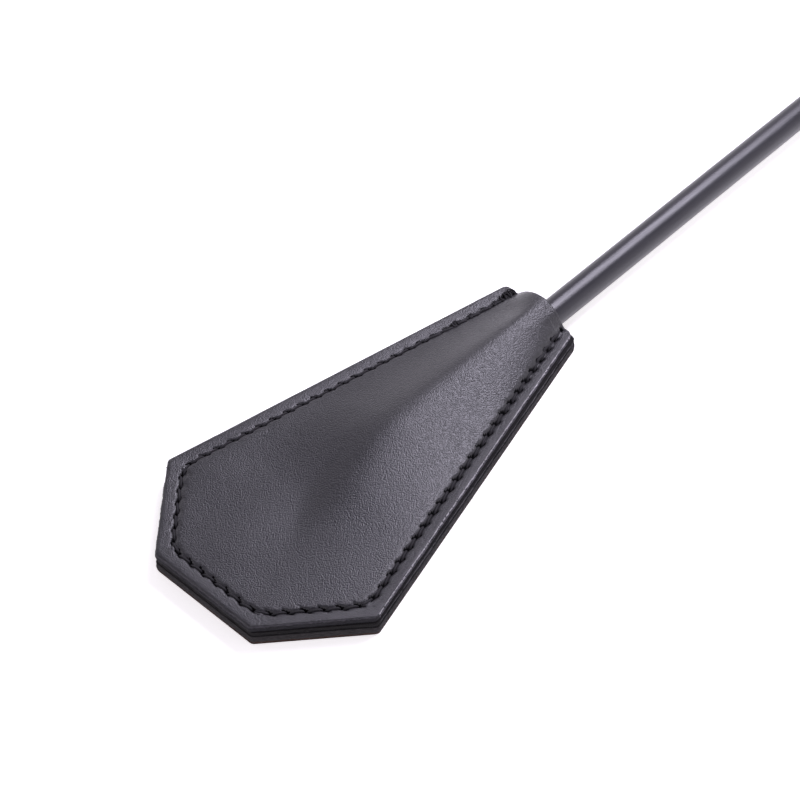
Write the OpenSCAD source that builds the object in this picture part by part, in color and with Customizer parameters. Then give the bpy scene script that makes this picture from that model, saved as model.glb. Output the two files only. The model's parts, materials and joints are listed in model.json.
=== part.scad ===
/* [Flapper] */
// Length of the flapper from its mouth to its tip edge
flapper_len = 105.2; // [90:0.1:115]
// Greatest width of the flapper
flapper_w = 60; // [54:0.5:64]
// Distance from the mouth to the widest point
widest_at = 86.5; // [76:0.5:88]
// Width of the straight tip edge
tip_w = 27.2; // [22:0.1:34]
// Width of the flapper at its mouth
mouth_w = 21; // [20:0.1:24]
// Sideways shift of the mouth from the shaft's axis
mouth_shift = 2.7; // [2:0.1:2.8]
// How far the mouth edge leans, from its middle to each corner
mouth_lean = 0.5; // [0:0.1:1]
// Thickness of the back leather
back_t = 2.2; // [2:0.1:2.6]
// Thickness of the stiffening ply in the middle
stiffener_t = 1.3; // [1:0.1:1.6]
// Thickness of the top leather
top_t = 1.8; // [1.6:0.1:2]
// Thickness of the top leather where it is stretched over the shaft
stretched_t = 1.2; // [1:0.1:1.4]
// Distance from the mouth to the line where the flapper bends
bend_at = 69; // [68:0.5:74]
// Gap between the stiff halves of the flapper at the bend line
bend_gap = 1.2; // [1.2:0.1:2]

/* [Stitching] */
// Distance of the stitch line from the cut edge
stitch_inset = 3.5; // [3.2:0.1:4]
// Distance from one stitch to the next
stitch_pitch = 3.5; // [3:0.1:5]
// Length of a visible stitch
stitch_len = 2.6; // [2:0.1:2.8]
// Width of the thread
thread_w = 0.7; // [0.5:0.1:0.9]
// Width of the groove that the thread lies in
groove_w = 1.1; // [1:0.1:1.4]
// Depth of the groove that the thread lies in
groove_depth = 0.4; // [0.3:0.1:0.6]

/* [Shaft] */
// Outer diameter of the shaft's sleeve
shaft_d = 6.5; // [6.3:0.1:6.6]
// Diameter of the glass-fibre rod inside the sleeve
rod_d = 4.5; // [4:0.1:5]
// Length of shaft inside the flapper
shaft_in = 54; // [50:0.5:56]
// Length of bare shaft between the flapper and the handle
shaft_bare = 235; // [180:1:420]
// Rise of the shaft towards the handle, in degrees
shaft_rise = 0.8; // [0.7:0.01:0.9]
// Height of the shaft's axis at the flapper's mouth
shaft_z = 5; // [4.9:0.05:5.2]

/* [Handle] */
// Length of the leather grip
grip_len = 142; // [120:1:180]
// Diameter of the grip at its front end
grip_front_d = 14.8; // [14:0.1:15.4]
// Diameter of the grip at its rear end
grip_rear_d = 16.4; // [16:0.1:16.8]
// Diameter of the core under the leather
core_d = 12.4; // [12:0.1:12.8]
// Length of the front collar
collar_len = 15; // [12:0.5:20]
// Length of the rear collar
ring_len = 6; // [4:0.5:8]
// Length of the end cap
cap_len = 18; // [17:0.5:20]

/* [Wrist loop] */
// Distance from the pin to the far end of the loop
loop_reach = 170; // [150:1:190]
// Greatest outer width of the loop
loop_w = 58; // [50:1:60]
// Width of the strap
strap_w = 12; // [11:0.5:13]
// Thickness of the strap
strap_t = 1.8; // [1.6:0.1:2]
// Length over which the strap lies double
double_len = 44; // [42:1:50]
// Diameter of the pin that holds the loop
pin_d = 3; // [2.8:0.1:3.2]
// Distance from the pin to the keeper
keeper_at = 14; // [13:0.5:15]
// Width of the keeper along the strap
keeper_len = 8; // [6:0.5:9]

/* [Hidden] */
$fn = 96;

touch = 0.02;      // clearance between pieces of one body that lie against each other
running = 0.05;    // radial clearance of the eyelet on the pin
free = 0.3;        // clearance between pieces that move past each other
eps = 0.01;
leather_black = [0.13, 0.13, 0.14];
edge_black = [0.08, 0.07, 0.07];
thread_black = [0.03, 0.03, 0.03];
plastic_black = [0.16, 0.16, 0.17];
nickel = [0.72, 0.72, 0.70];

shaft_r = shaft_d / 2;
back_top = back_t;
stiffener_top = back_top + stiffener_t;
flapper_t = stiffener_top + top_t;

// Places along the shaft's axis, measured from the flapper's mouth
collar_x = shaft_bare;
grip_x = collar_x + collar_len;
ring_x = grip_x + grip_len;
cap_x = ring_x + ring_len;
spigot_len = 10;     // length of the end cap's spigot inside the handle's core
spigot_r = 4;
rod_end_x = ring_x - spigot_len;
slot_reach = strap_w / 2 + 1;
pin_x = cap_x + 4 + slot_reach;

function axis_z(x) = shaft_z + x * tan(shaft_rise);

// The cap is a barrel whose lowest point touches the ground
barrel_r = 20;
barrel_x = cap_x + cap_len / 2;
cap_r = barrel_r - (barrel_r - axis_z(barrel_x)) / cos(shaft_rise);
dome_r = 16;

// The pin, and how far the loop drops from it until it rests on the ground
pin_z = axis_z(pin_x);
reach_angle = atan(strap_w / 2 / loop_reach);
loop_drop = asin(pin_z / norm([strap_w / 2, loop_reach])) - reach_angle;

// The row's origin lies under the middle of the whole crop
loop_end_x = pin_x + loop_reach * cos(loop_drop) + strap_w / 2 * sin(loop_drop);
mid_x = (loop_end_x - flapper_len) / 2;

// ---- outline of the flapper -------------------------------------------------

mouth_left = mouth_shift + mouth_w / 2;
mouth_right = mouth_shift - mouth_w / 2;
outline = [
    [mouth_lean, mouth_left],
    [-widest_at, flapper_w / 2],
    [-flapper_len, tip_w / 2],
    [-flapper_len, -tip_w / 2],
    [-widest_at, -flapper_w / 2],
    [-mouth_lean, mouth_right]
];

function unit(v) = v / norm(v);
function left_of(v) = [-v.y, v.x];
function turned(points, i) = points[(i + len(points)) % len(points)];
function side_normal(points, i) = left_of(unit(turned(points, i + 1) - turned(points, i)));

// The same outline with every side moved inwards by d
function inset(points, d) = [
    for (i = [0 : len(points) - 1])
        let (a = side_normal(points, i - 1), b = side_normal(points, i))
            points[i] + d * (a + b) / (1 + a * b)
];

// ---- the stitch line --------------------------------------------------------

corner_cut = 3.5;    // how far from a corner the stitch line starts to turn
mouth_margin = 1.6;  // distance of the last stitch from the mouth

stitch_corners = inset(outline, stitch_inset);
stitch_start = stitch_corners[0]
    + (stitch_inset - mouth_margin) * unit(stitch_corners[0] - stitch_corners[1]);
stitch_end = stitch_corners[5]
    + (stitch_inset - mouth_margin) * unit(stitch_corners[5] - stitch_corners[4]);

// A soft turn at corner b of the path a, b, c
function turn(a, b, c) =
    let (p = b + corner_cut * unit(a - b), q = b + corner_cut * unit(c - b))
        [for (t = [0 : 0.25 : 1]) (1 - t) * (1 - t) * p + 2 * t * (1 - t) * b + t * t * q];

stitch_path = concat(
    [stitch_start],
    [for (i = [1 : 4]) each turn(stitch_corners[i - 1], stitch_corners[i], stitch_corners[i + 1])],
    [stitch_end]
);

function path_len(path, i = 0) =
    i >= len(path) - 1 ? 0 : norm(path[i + 1] - path[i]) + path_len(path, i + 1);
// The point at distance s along the path, followed by the direction there
function place(path, s, i = 0) =
    let (step = path[i + 1] - path[i])
        s <= norm(step) || i == len(path) - 2
            ? [path[i] + s * unit(step), unit(step)]
            : place(path, s - norm(step), i + 1);

function path_normal(path, i) =
    left_of(unit(path[min(i + 1, len(path) - 1)] - path[max(i - 1, 0)]));
// A strip of width w along the path
function ribbon(path, w) = concat(
    [for (i = [0 : len(path) - 1]) path[i] + w / 2 * path_normal(path, i)],
    [for (i = [len(path) - 1 : -1 : 0]) path[i] - w / 2 * path_normal(path, i)]
);

stitch_total = path_len(stitch_path);
stitch_count = floor(stitch_total / stitch_pitch);
stitch_places = [
    for (i = [0 : stitch_count - 1]) place(stitch_path, (i + 0.5) * stitch_total / stitch_count)
];

// ---- helpers ----------------------------------------------------------------

// Puts a piece that is drawn from the mouth into the crop's own frame
module in_frame() {
    translate([-mid_x, 0, 0]) children();
}

// Draws along the shaft: +Z of the children runs towards the handle, starting at x
module on_shaft(x) {
    translate([x, 0, axis_z(x)]) rotate([0, 90 - shaft_rise, 0]) children();
}

module ring(outer_r, inner_r, h) {
    difference() {
        cylinder(r = outer_r, h = h);
        translate([0, 0, -1]) cylinder(r = inner_r, h = h + 2);
    }
}

// Keeps the half of the flapper between the mouth and the bend line
module neck_half() {
    intersection() {
        children();
        translate([-bend_at + bend_gap / 2, -50, -5]) cube([bend_at + 5, 100, 30]);
    }
}

// Keeps the half of the flapper beyond the bend line
module tip_half() {
    intersection() {
        children();
        translate([-flapper_len - 5, -50, -5])
            cube([flapper_len + 5 - bend_at - bend_gap / 2, 100, 30]);
    }
}

module stitch_groove() {
    linear_extrude(height = 3) polygon(ribbon(stitch_path, groove_w));
}

// The bed of the shaft: its own round shape, open upwards
module shaft_bed() {
    on_shaft(-shaft_in) cylinder(r = shaft_r + touch, h = shaft_in + 10);
    on_shaft(-shaft_in) sphere(r = shaft_r + touch);
}

// ---- the flapper's plies ----------------------------------------------------

// Arch of the top leather across the flapper at x: its feet, its crest and its base height
module arch(x, foot_left, foot_right, crest_y, crest_z, foot_z, base_z) {
    fullness = 2.2;    // higher is a blunter arch
    steps = 12;
    arc = [
        for (i = [-steps : steps])
            let (s = i / steps, foot = s < 0 ? foot_right : foot_left)
                [crest_y + abs(s) * (foot - crest_y),
                 foot_z + (crest_z - foot_z) * (1 - pow(abs(s), fullness))]
    ];
    translate([x, 0, 0]) rotate([90, 0, 90]) linear_extrude(height = eps)
        polygon(concat(arc, [[foot_left, base_z], [foot_right, base_z]]));
}

ridge_end = 66;      // distance from the mouth to where the ridge has sunk into the flat
arch_left = 9.3;
arch_right = -(shaft_r + stretched_t + 0.1);
arch_spread = 13;    // half width of the ridge at the shaft's inner end

// The ridge that the top leather makes over the shaft, thinner all round by d
module ridge(d, base_z) {
    rise = stretched_t - d + touch;
    hull() {
        arch(mouth_lean, arch_left - d, arch_right + d, 0.6,
             axis_z(0) + shaft_r + rise, flapper_t - d, base_z);
        arch(-shaft_in, arch_spread - d, -arch_spread + d, 0,
             axis_z(-shaft_in) + shaft_r + rise, flapper_t - d, base_z);
    }
    hull() {
        arch(-shaft_in, arch_spread - d, -arch_spread + d, 0,
             axis_z(-shaft_in) + shaft_r + rise, flapper_t - d, base_z);
        arch(-ridge_end + 2 * d, arch_spread - 3 - d, -arch_spread + 3 + d, 0,
             flapper_t - d + eps, flapper_t - d, base_z);
    }
}

module top_ply() {
    difference() {
        intersection() {
            union() {
                translate([0, 0, stiffener_top]) linear_extrude(height = top_t) polygon(outline);
                ridge(0, stiffener_top + eps);
            }
            linear_extrude(height = 20) polygon(outline);
        }
        ridge(stretched_t, stiffener_top - 1);
        shaft_bed();
        translate([0, 0, flapper_t - groove_depth]) stitch_groove();
    }
}

module stiffener_ply() {
    difference() {
        translate([0, 0, back_top]) linear_extrude(height = stiffener_t) polygon(outline);
        shaft_bed();
    }
}

module back_ply() {
    difference() {
        linear_extrude(height = back_t) polygon(outline);
        shaft_bed();
        translate([0, 0, groove_depth + thread_w / 2 - 3]) stitch_groove();
    }
}

module flapper_top_neck() {
    color(leather_black) in_frame() neck_half() top_ply();
}

module flapper_top_tip() {
    color(leather_black) in_frame() tip_half() top_ply();
}

module flapper_stiffener_neck() {
    color(edge_black) in_frame() neck_half() stiffener_ply();
}

module flapper_stiffener_tip() {
    color(edge_black) in_frame() tip_half() stiffener_ply();
}

module flapper_back_neck() {
    color(edge_black) in_frame() neck_half() back_ply();
}

module flapper_back_tip() {
    color(edge_black) in_frame() tip_half() back_ply();
}

// ---- the thread -------------------------------------------------------------

module stitch(length) {
    straight = length - thread_w;
    linear_extrude(height = thread_w) {
        square([straight, thread_w], center = true);
        for (end = [-0.5, 0.5]) translate([end * straight, 0]) circle(d = thread_w, $fn = 24);
    }
}

// One row of stitches on the given side of the bend line, with its lower face at z
module stitch_row(z, neck_side) {
    clear_of_bend = (stitch_len + bend_gap) / 2 + free;
    for (spot = stitch_places) {
        along = spot[0].x + bend_at;
        if (neck_side ? along > clear_of_bend : along < -clear_of_bend)
            translate([spot[0].x, spot[0].y, z])
                rotate([0, 0, atan2(spot[1].y, spot[1].x)]) stitch(stitch_len);
    }
}

needle_z = flapper_t - groove_depth + touch;
bobbin_z = groove_depth + thread_w / 2 - thread_w - touch;

module needle_thread_neck() {
    color(thread_black) in_frame() stitch_row(needle_z, true);
}

module needle_thread_tip() {
    color(thread_black) in_frame() stitch_row(needle_z, false);
}

module bobbin_thread_neck() {
    color(thread_black) in_frame() stitch_row(bobbin_z, true);
}

module bobbin_thread_tip() {
    color(thread_black) in_frame() stitch_row(bobbin_z, false);
}

// ---- the shaft --------------------------------------------------------------

module shaft_tip_cap() {
    color(plastic_black) in_frame() on_shaft(-shaft_in) intersection() {
        sphere(r = shaft_r);
        translate([0, 0, -shaft_r]) cylinder(r = shaft_d, h = shaft_r);
    }
}

module core_rod() {
    color("gainsboro") in_frame() on_shaft(-shaft_in) cylinder(d = rod_d, h = shaft_in + rod_end_x);
}

module shaft_sleeve() {
    color(plastic_black) in_frame() on_shaft(-shaft_in)
        ring(shaft_r, rod_d / 2 + touch, shaft_in + grip_x);
}

// ---- the handle -------------------------------------------------------------

module front_collar() {
    nose_r = shaft_r + 1.1;
    skirt = 5;
    rear_r = grip_front_d / 2 + 0.7;
    color(nickel) in_frame() on_shaft(collar_x) difference() {
        union() {
            cylinder(r1 = nose_r, r2 = rear_r, h = collar_len - skirt);
            translate([0, 0, collar_len - skirt]) cylinder(r = rear_r, h = skirt);
        }
        translate([0, 0, -1]) cylinder(r = shaft_r + touch, h = collar_len + 2);
    }
}

module handle_core() {
    color("dimgray") in_frame() on_shaft(grip_x) difference() {
        cylinder(d = core_d, h = grip_len + ring_len);
        translate([0, 0, -1]) cylinder(r = rod_d / 2 + touch, h = grip_len + 2);
        translate([0, 0, grip_len - spigot_len])
            cylinder(r = spigot_r + touch, h = spigot_len + ring_len + 1);
    }
}

seam_stitches = 36;
seam_margin = 4;
seam_depth = 0.6;

// Places children along the grip's seam, which faces +Y
module along_seam() {
    step = (grip_len - 2 * seam_margin) / (seam_stitches - 1);
    for (i = [0 : seam_stitches - 1]) {
        s = seam_margin + i * step;
        r = (grip_front_d + (grip_rear_d - grip_front_d) * s / grip_len) / 2;
        on_shaft(grip_x + s * cos(shaft_rise)) translate([0, r - seam_depth, 0]) children();
    }
}

module grip_wrap() {
    color(leather_black) in_frame() difference() {
        on_shaft(grip_x) cylinder(d1 = grip_front_d, d2 = grip_rear_d, h = grip_len);
        on_shaft(grip_x - 1) cylinder(r = core_d / 2 + touch, h = grip_len + 2);
        along_seam() translate([-1, 0, -0.6]) cube([2, 2, 1.2]);
    }
}

module grip_seam_thread() {
    color(thread_black) in_frame() along_seam()
        translate([-0.9, touch, -0.35]) cube([1.8, seam_depth, 0.7]);
}

module rear_collar() {
    bead = 0.8;
    wall_r = grip_rear_d / 2 + 0.4;
    color(nickel) in_frame() on_shaft(ring_x) difference() {
        union() {
            cylinder(r = wall_r, h = ring_len);
            for (z = [bead, ring_len - bead])
                translate([0, 0, z]) rotate_extrude() translate([wall_r - 0.3, 0]) circle(r = bead);
        }
        translate([0, 0, -1]) cylinder(r = core_d / 2 + touch, h = ring_len + 2);
    }
}

eyelet_lip = 0.35;
strap_gap = 0.1;     // air between the two plies where the strap lies double
double_t = 2 * strap_t + strap_gap;
slot_w = double_t + 2 * eyelet_lip + 2 * free;

// Draws along the pin, whose middle is the origin and whose axis is Y
module on_pin() {
    translate([pin_x, 0, pin_z]) rotate([90, 0, 0]) children();
}

module end_cap() {
    centre_drop = barrel_r - cap_r;
    color(plastic_black) in_frame() difference() {
        on_shaft(cap_x) union() {
            intersection() {
                rotate_extrude() intersection() {
                    translate([-centre_drop, cap_len / 2]) circle(r = barrel_r, $fn = 192);
                    square([barrel_r, cap_len]);
                }
                translate([0, 0, cap_len - dome_r]) sphere(r = dome_r);
            }
            translate([0, 0, -ring_len - spigot_len])
                cylinder(r = spigot_r, h = ring_len + spigot_len + 1);
        }
        translate([pin_x - slot_reach, -slot_w / 2, -5]) cube([cap_len, slot_w, 40]);
        on_pin() cylinder(r = pin_d / 2 + touch, h = 4 * cap_r, center = true);
    }
}

module loop_pin() {
    color("silver") in_frame() on_pin() cylinder(d = pin_d, h = 2 * cap_r - 2.2, center = true);
}

// ---- the wrist loop ---------------------------------------------------------

// Draws in the loop's own plane: +X runs from the pin to the loop's far end
module on_loop() {
    translate([pin_x, 0, pin_z]) rotate([0, loop_drop, 0]) children();
}

eyelet_r = 2.4;

module strap_eyelet() {
    flange_r = 3.8;
    inner_r = pin_d / 2 + running;
    half = double_t / 2;
    color(nickel) in_frame() on_pin() {
        translate([0, 0, -half - eyelet_lip]) ring(eyelet_r, inner_r, double_t + 2 * eyelet_lip);
        for (z = [-half - eyelet_lip, half]) translate([0, 0, z]) ring(flange_r, inner_r, eyelet_lip);
    }
}

// Middle line of one side of the strap, from the pin's end to the far end of the loop
side_y = (strap_t + strap_gap) / 2;
open_len = loop_reach - strap_t / 2 - double_len;
fullest = 0.703;     // greatest value of the drop's width formula
drop_w = (loop_w - strap_t) / 2 / fullest;
function drop_point(t) = [
    double_len + open_len * (1 - cos(t)) / 2,
    side_y * cos(t / 2) + drop_w * sin(t) * pow(sin(t / 2), 1.5)
];
strap_side = concat([[-strap_w / 2, side_y]], [for (t = [0 : 7.5 : 180]) drop_point(t)]);
strap_line = concat(strap_side, [for (i = [len(strap_side) - 2 : -1 : 0])
    [strap_side[i].x, -strap_side[i].y]]);

module wrist_strap() {
    color(leather_black) in_frame() on_loop() difference() {
        linear_extrude(height = strap_w, center = true) polygon(ribbon(strap_line, strap_t));
        // The two ends are rounded about the pin
        rotate([90, 0, 0]) difference() {
            translate([-strap_w, -strap_w, -double_t]) cube([strap_w, 2 * strap_w, 2 * double_t]);
            cylinder(d = strap_w, h = 3 * double_t, center = true);
        }
        rotate([90, 0, 0]) cylinder(r = eyelet_r + touch, h = 3 * double_t, center = true);
    }
}

module strap_keeper() {
    wall = 1.3;
    hole = [double_t + 2 * free, strap_w + 2 * free];
    color(leather_black) in_frame() on_loop() translate([keeper_at, 0, 0]) rotate([90, 0, 90])
        linear_extrude(height = keeper_len) difference() {
            square([hole.x + 2 * wall, hole.y + 2 * wall], center = true);
            square(hole, center = true);
        }
}

flapper_top_neck();
flapper_top_tip();
flapper_stiffener_neck();
flapper_stiffener_tip();
flapper_back_neck();
flapper_back_tip();
needle_thread_neck();
needle_thread_tip();
bobbin_thread_neck();
bobbin_thread_tip();
shaft_tip_cap();
core_rod();
shaft_sleeve();
front_collar();
handle_core();
grip_wrap();
grip_seam_thread();
rear_collar();
end_cap();
loop_pin();
strap_eyelet();
wrist_strap();
strap_keeper();
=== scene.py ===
"""Riding crop: the looks of its leather, thread, shaft, handle and wrist loop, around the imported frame."""
import json
import math

import bmesh
import bpy
import numpy as np
from mathutils import Matrix, Quaternion, Vector


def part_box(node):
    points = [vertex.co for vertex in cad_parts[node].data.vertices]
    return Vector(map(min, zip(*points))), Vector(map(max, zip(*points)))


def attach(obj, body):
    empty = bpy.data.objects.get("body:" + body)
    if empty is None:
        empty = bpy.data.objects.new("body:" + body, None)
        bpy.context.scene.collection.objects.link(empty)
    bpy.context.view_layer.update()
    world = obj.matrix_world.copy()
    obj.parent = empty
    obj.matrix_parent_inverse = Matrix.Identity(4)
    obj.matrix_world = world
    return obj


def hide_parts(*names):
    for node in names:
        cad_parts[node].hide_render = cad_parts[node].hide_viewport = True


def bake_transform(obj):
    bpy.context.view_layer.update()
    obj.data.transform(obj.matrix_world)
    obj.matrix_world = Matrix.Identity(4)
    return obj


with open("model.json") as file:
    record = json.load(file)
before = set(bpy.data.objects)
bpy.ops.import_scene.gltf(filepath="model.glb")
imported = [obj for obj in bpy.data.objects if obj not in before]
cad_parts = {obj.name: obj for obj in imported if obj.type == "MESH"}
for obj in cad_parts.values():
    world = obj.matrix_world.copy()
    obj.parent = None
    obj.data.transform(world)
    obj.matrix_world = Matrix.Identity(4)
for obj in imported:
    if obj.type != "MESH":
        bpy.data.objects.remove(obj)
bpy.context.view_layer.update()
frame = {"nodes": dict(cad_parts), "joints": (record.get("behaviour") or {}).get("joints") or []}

MM = 0.001

# ---- driving sizes of the flapper, in millimetres from the middle of its mouth ----

FLAPPER_LEN = 105.2
HALF_W = 30.0
WIDEST_X = -86.5
HALF_TIP = 13.6
MOUTH_LEFT = 13.2
MOUTH_RIGHT = -7.8
MOUTH_LEAN = 0.5
BACK_TOP = 2.2
STIFFENER_TOP = 3.5
FLAPPER_TOP = 5.3
STRETCHED_T = 1.2
TIGHTEST_T = 0.8
STITCH_INSET = 3.25
STITCH_PITCH = 3.5
CORNER_CUT = 3.5
HOLE_SLANT = 0.42
MOUTH_MARGIN = 1.6
SHAFT_R = 3.25
SHAFT_BORE_R = 2.3
SHAFT_Z = 5.0
SHAFT_RISE = math.radians(0.8)
SHAFT_END_X = -54.0

MOUTH_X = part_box("flapper_back_tip")[0].x / MM + FLAPPER_LEN  # the mouth, in the row frame, in mm
RANDOM = np.random.default_rng(7)


def axis_z(x):
    """Height of the shaft's axis, x millimetres from the mouth."""
    return SHAFT_Z + x * math.tan(SHAFT_RISE)


def to_row(points):
    """Millimetres from the mouth as metres in the row frame."""
    return (np.asarray(points, float) + [MOUTH_X, 0, 0]) * MM


# ---- camera, light and floor ----

VIEW_AZIMUTH = -136.83  # from the target to the camera, in degrees
VIEW_ELEVATION = 46.81
VIEW_ROLL = -0.15
VIEW_TARGET = (-37.83, 9.85, 0)  # on the floor, in millimetres from the mouth
VIEW_DISTANCE = 0.473  # from the target to the camera, in metres
LENS_MM = 99
SENSOR_MM = 36
FLOOR_HALF = 3.0  # half the floor's width, in metres


def add_object(name, data):
    made = bpy.data.objects.new(name, data)
    bpy.context.scene.collection.objects.link(made)
    return made


def direction(azimuth, elevation):
    """The unit vector that way: azimuth turns from +X towards +Y, both in degrees."""
    a, e = math.radians(azimuth), math.radians(elevation)
    return Vector((math.cos(a) * math.cos(e), math.sin(a) * math.cos(e), math.sin(e)))


def aim_camera():
    target = Vector(to_row(VIEW_TARGET))
    back = direction(VIEW_AZIMUTH, VIEW_ELEVATION)
    data = bpy.data.cameras.new("camera")
    data.lens = LENS_MM
    data.sensor_width = SENSOR_MM
    data.clip_start = 0.02
    camera = add_object("camera", data)
    camera.location = target + VIEW_DISTANCE * back
    roll = Quaternion((0, 0, 1), math.radians(VIEW_ROLL))
    camera.rotation_mode = "QUATERNION"
    camera.rotation_quaternion = back.to_track_quat("Z", "Y") @ roll
    bpy.context.scene.camera = camera
    return target


def add_soft_box(aim):
    """The key light, high on the handle's side."""
    way = direction(3, 55)
    data = bpy.data.lights.new("soft_box", "AREA")
    data.shape = "RECTANGLE"
    data.size, data.size_y = 0.27, 0.20
    data.energy = 2.2
    data.color = (0.97, 0.925, 1.10)
    light = add_object("soft_box", data)
    light.location = aim + Vector((0.03, 0, 0)) + 0.45 * way
    light.rotation_mode = "QUATERNION"
    light.rotation_quaternion = way.to_track_quat("Z", "Y")


def light_studio():
    """A white studio, bright near the ground and dim overhead."""
    world = bpy.data.worlds.new("studio")
    bpy.context.scene.world = world
    world.use_nodes = True
    tree = world.node_tree
    background = tree.nodes["Background"]
    where = tree.nodes.new("ShaderNodeTexCoord")
    height = tree.nodes.new("ShaderNodeSeparateXYZ")
    ramp = tree.nodes.new("ShaderNodeValToRGB")
    tree.links.new(where.outputs["Generated"], height.inputs["Vector"])
    tree.links.new(height.outputs["Z"], ramp.inputs["Fac"])
    tree.links.new(ramp.outputs["Color"], background.inputs["Color"])
    ramp.color_ramp.interpolation = "EASE"
    low, high = ramp.color_ramp.elements
    low.position, low.color = 0.36, (1.15, 1.10, 1.22, 1)
    high.position, high.color = 0.70, (0.263, 0.247, 0.292, 1)
    view = bpy.context.scene.view_settings
    view.view_transform = "Standard"
    view.look = "None"


def add_floor():
    corners = [(x * FLOOR_HALF, y * FLOOR_HALF, 0) for x, y in ((-1, -1), (1, -1), (1, 1), (-1, 1))]
    mesh = bpy.data.meshes.new("floor")
    mesh.from_pydata(corners, [], [(0, 1, 2, 3)])
    floor = add_object("floor", mesh)
    s = Shader("floor", (0.90, 0.90, 0.90), 0.9, specular=0.1)
    s.bsdf.inputs["Emission Color"].default_value = (1.0, 0.97, 0.96, 1)
    s.bsdf.inputs["Emission Strength"].default_value = 0.62
    mesh.materials.append(s.material)


# ---- materials ----


class Shader:
    """A material, with short calls for the nodes that the surfaces here are made of."""

    def __init__(self, name, colour, roughness, metallic=0.0, specular=0.5):
        self.material = bpy.data.materials.new(name)
        self.material.use_nodes = True
        self.tree = self.material.node_tree
        self.bsdf = self.tree.nodes["Principled BSDF"]
        self.bsdf.inputs["Base Color"].default_value = (*colour, 1)
        self.bsdf.inputs["Roughness"].default_value = roughness
        self.bsdf.inputs["Metallic"].default_value = metallic
        self.bsdf.inputs["Specular IOR Level"].default_value = specular
        self.uv = self.node("ShaderNodeUVMap", uv_map="rest")

    def node(self, kind, **settings):
        made = self.tree.nodes.new(kind)
        for key, value in settings.items():
            setattr(made, key, value)
        return made

    def link(self, source, target):
        self.tree.links.new(source, target)

    def coords(self, stretch=(1, 1, 1)):
        mapping = self.node("ShaderNodeMapping")
        mapping.inputs["Scale"].default_value = stretch
        self.link(self.uv.outputs["UV"], mapping.inputs["Vector"])
        return mapping.outputs["Vector"]

    def noise(self, scale, detail=4.0, stretch=(1, 1, 1), roughness=0.55):
        noise = self.node("ShaderNodeTexNoise")
        noise.inputs["Scale"].default_value = scale
        noise.inputs["Detail"].default_value = detail
        noise.inputs["Roughness"].default_value = roughness
        self.link(self.coords(stretch), noise.inputs["Vector"])
        return noise.outputs["Fac"]

    def cells(self, scale):
        cells = self.node("ShaderNodeTexVoronoi", feature="F1")
        cells.inputs["Scale"].default_value = scale
        self.link(self.coords(), cells.inputs["Vector"])
        return cells.outputs["Distance"]

    def ramp(self, value, low, high, to_low, to_high):
        """value from low to high, as a number from to_low to to_high."""
        ranged = self.node("ShaderNodeMapRange")
        for key, number in zip(
            ("From Min", "From Max", "To Min", "To Max"), (low, high, to_low, to_high)
        ):
            ranged.inputs[key].default_value = number
        self.link(value, ranged.inputs["Value"])
        return ranged.outputs["Result"]

    def tint(self, value, low, high, stops):
        """value from low to high picks between the two colours in stops."""
        mix = self.node("ShaderNodeMix", data_type="RGBA")
        mix.inputs[6].default_value = (*stops[0], 1)
        mix.inputs[7].default_value = (*stops[1], 1)
        self.link(self.ramp(value, low, high, 0, 1), mix.inputs[0])
        return mix.outputs[2]

    def bump(self, height, depth_mm, after=None):
        bump = self.node("ShaderNodeBump")
        bump.inputs["Strength"].default_value = 1.0
        bump.inputs["Distance"].default_value = depth_mm * MM
        self.link(height, bump.inputs["Height"])
        if after is not None:
            self.link(after, bump.inputs["Normal"])
        return bump.outputs["Normal"]

    def set(self, socket, value):
        self.link(value, self.bsdf.inputs[socket])


def grained_leather(name, dark, light, grain=3.7, depth=0.066, roughness=(0.28, 0.38)):
    """Black leather with a pressed pebble grain; grain is the number of pebbles per millimetre."""
    s = Shader(name, dark, roughness[0])
    pebbles = s.cells(grain)
    fine = s.noise(grain * 2.2, 2)
    slow = s.noise(0.09, 3)
    s.set("Base Color", s.tint(slow, 0.35, 0.7, (dark, light)))
    s.set("Roughness", s.ramp(fine, 0.3, 0.7, *roughness))
    normal = s.bump(pebbles, -depth)
    s.set("Normal", s.bump(fine, depth * 0.25, normal))
    return s.material


def cut_edge(name, dark, light, low=0.35, high=0.72, specular=0.25):
    """The raw edge of leather or leather board, with fibres that run along the cut, dark to light."""
    s = Shader(name, dark, 0.85, specular=specular)
    fibres = s.noise(1.6, 6, (0.45, 2.6, 1), 0.7)
    specks = s.noise(5.0, 3)
    s.set("Base Color", s.tint(fibres, low, high, (dark, light)))
    normal = s.bump(fibres, 0.35)
    s.set("Normal", s.bump(specks, 0.10, normal))
    return s.material


def satin_plastic(name, colour, roughness, streak=(0.1, 3, 1), specular=0.5):
    s = Shader(name, colour, roughness, specular=specular)
    lines = s.noise(2.0, 4, streak)
    s.set("Roughness", s.ramp(lines, 0.3, 0.7, roughness - 0.05, roughness + 0.07))
    s.set("Normal", s.bump(lines, 0.012))
    return s.material


def brushed_metal(name, colour, roughness):
    s = Shader(name, colour, roughness, metallic=1.0)
    lines = s.noise(3.0, 5, (6, 0.25, 1))
    blotches = s.noise(0.5, 3)
    s.set("Roughness", s.ramp(blotches, 0.35, 0.65, roughness - 0.06, roughness + 0.09))
    s.set("Normal", s.bump(lines, 0.006))
    return s.material


def thread_material(name):
    s = Shader(name, (0.012, 0.012, 0.014), 0.7, specular=0.30)
    fibres = s.noise(5.0, 4, (1, 3, 1))
    s.set("Base Color", s.tint(fibres, 0.35, 0.7, ((0.006, 0.006, 0.007), (0.027, 0.025, 0.029))))
    s.set("Normal", s.bump(fibres, 0.05))
    return s.material


# ---- meshes ----

WELD = 0.003  # points of a piece closer than this are one point, in millimetres


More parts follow.
